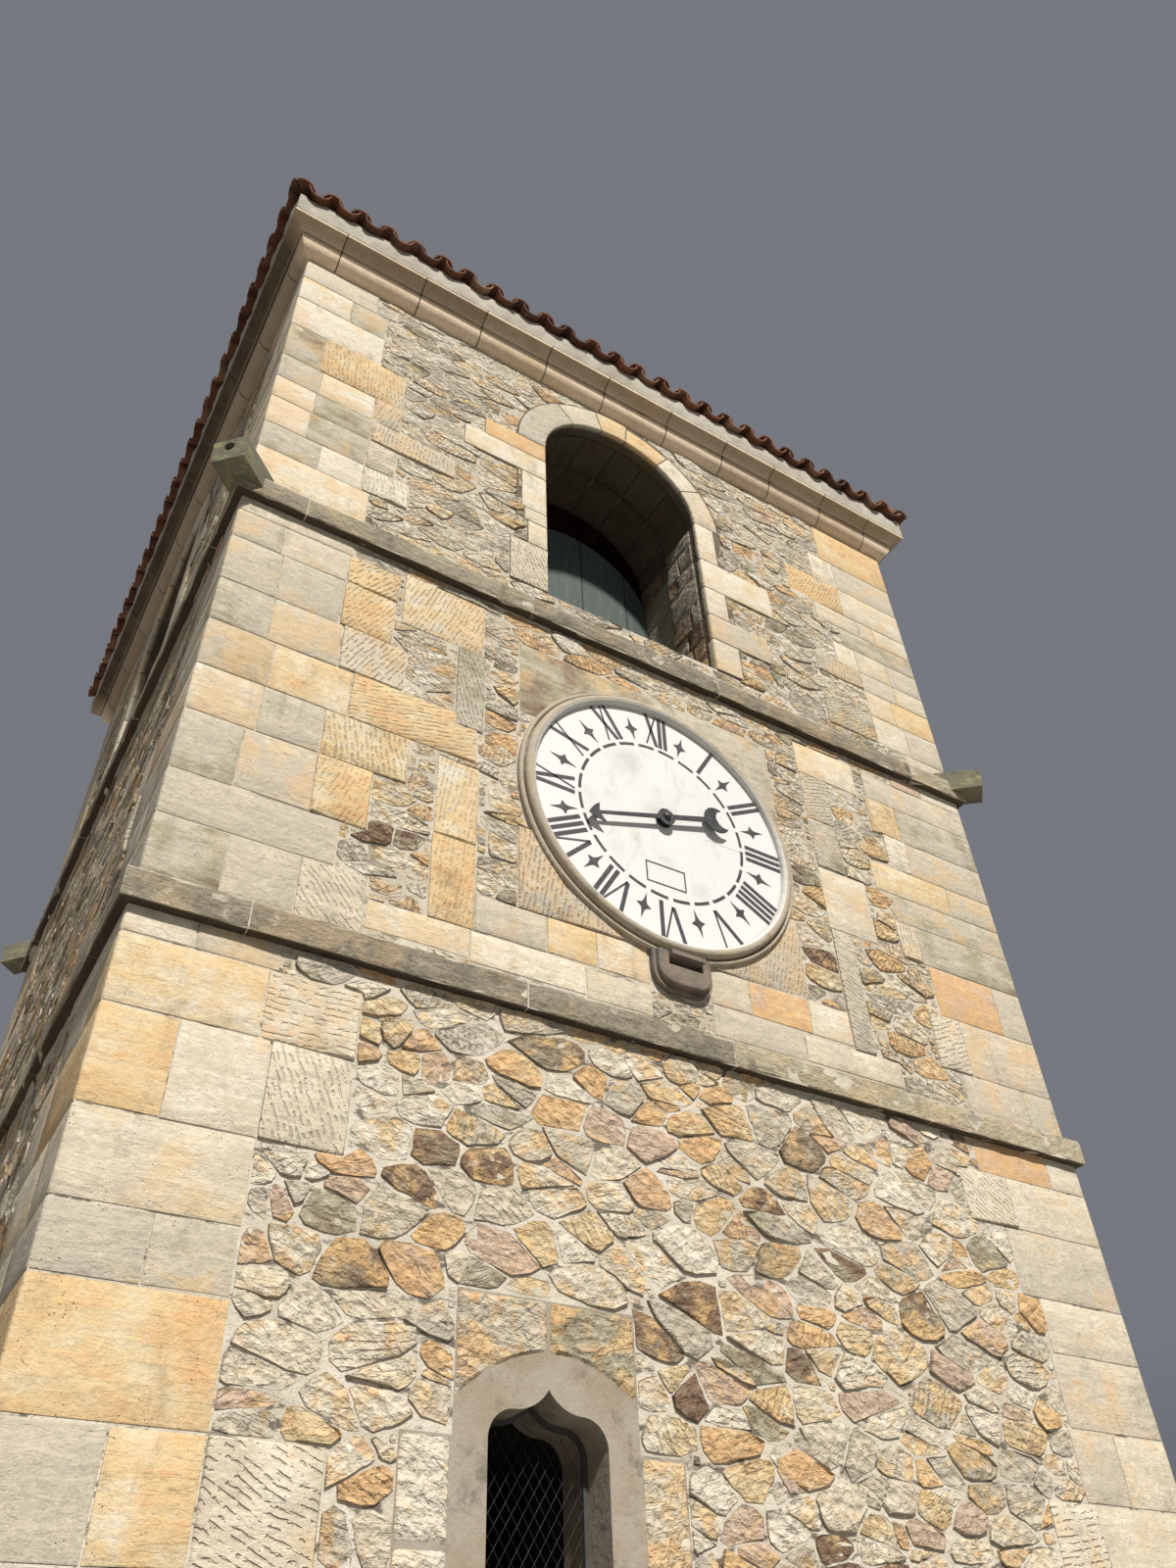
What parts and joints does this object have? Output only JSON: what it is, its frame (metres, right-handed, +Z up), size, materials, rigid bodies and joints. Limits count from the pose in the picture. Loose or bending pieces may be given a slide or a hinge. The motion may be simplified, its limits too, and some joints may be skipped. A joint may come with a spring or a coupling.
{
  "type": "stone clock tower",
  "caption": "Square stone clock tower with a moulded string at each stage, a round dial with one turning hand, arched belfry openings and a low hipped tile roof.",
  "frame": {"origin": "middle of the base at ground level", "axes": "+Z up, the dial and the low window look along -Y, +X to the right as the dial is read"},
  "size_m": [6.58, 6.58, 12.897],
  "materials": {
    "rubble": "rubble walling with pale mortar and dressed corner stones",
    "ashlar": "tooled sandstone",
    "string_stone": "weathered grey-brown stone",
    "cornice_stone": "moulded pinkish stone",
    "mortar": "off-white lime mortar",
    "roof_tile": "unglazed weathered barrel tile",
    "spout_stone": "lichen-covered stone",
    "dial_stone": "moulded stone",
    "dial_enamel": "white painted stone with grey numerals",
    "drain_stone": "damp grey stone",
    "dark_iron": "dull grey paint",
    "grille_steel": "dull, rusty",
    "screen_board": "weathered grey-green paint",
    "door_board": "weathered brown boards",
    "floor_board": "rough timber"
  },
  "bodies": {
    "tower": {"arbor_bush": "dark_iron", "belfry_back_arch": "ashlar", "belfry_back_screen": "screen_board", "belfry_back_wall": "rubble", "belfry_floor": "floor_board", "belfry_front_arch": "ashlar", "belfry_front_screen": "screen_board", "belfry_front_wall": "rubble", "belfry_left_arch": "ashlar", "belfry_left_screen": "screen_board", "belfry_left_wall": "rubble", "belfry_right_arch": "ashlar", "belfry_right_screen": "screen_board", "belfry_right_wall": "rubble", "cornice_crown": "cornice_stone", "cornice_roll": "cornice_stone", "dial_plate": "dial_enamel", "dial_ring": "dial_stone", "door_leaf": "door_board", "door_surround": "ashlar", "drain_stone": "drain_stone", "eave_bed": "mortar", "gargoyles": "spout_stone", "ground_floor": "ashlar", "lower_back_wall": "rubble", "lower_front_wall": "rubble", "lower_left_wall": "rubble", "lower_right_wall": "rubble", "lower_string_course": "string_stone", "middle_back_wall": "rubble", "middle_front_wall": "rubble", "middle_left_wall": "rubble", "middle_right_wall": "rubble", "roof_back_slope": "roof_tile", "roof_front_slope": "roof_tile", "roof_hips": "roof_tile", "roof_left_slope": "roof_tile", "roof_right_slope": "roof_tile", "upper_string_course": "string_stone", "window_grille": "grille_steel", "window_surround": "ashlar"},
    "hand": {"clock_hand": "dark_iron", "hand_arbor": "dark_iron", "hand_cap": "dark_iron"}
  },
  "joints": [
    {"name": "hand_turn", "type": "hinge", "parent": "tower", "child": "hand", "pos_m": [-0.045, -3.008, 6.41], "axis": [0, 1, 0], "continuous": true}
  ]
}
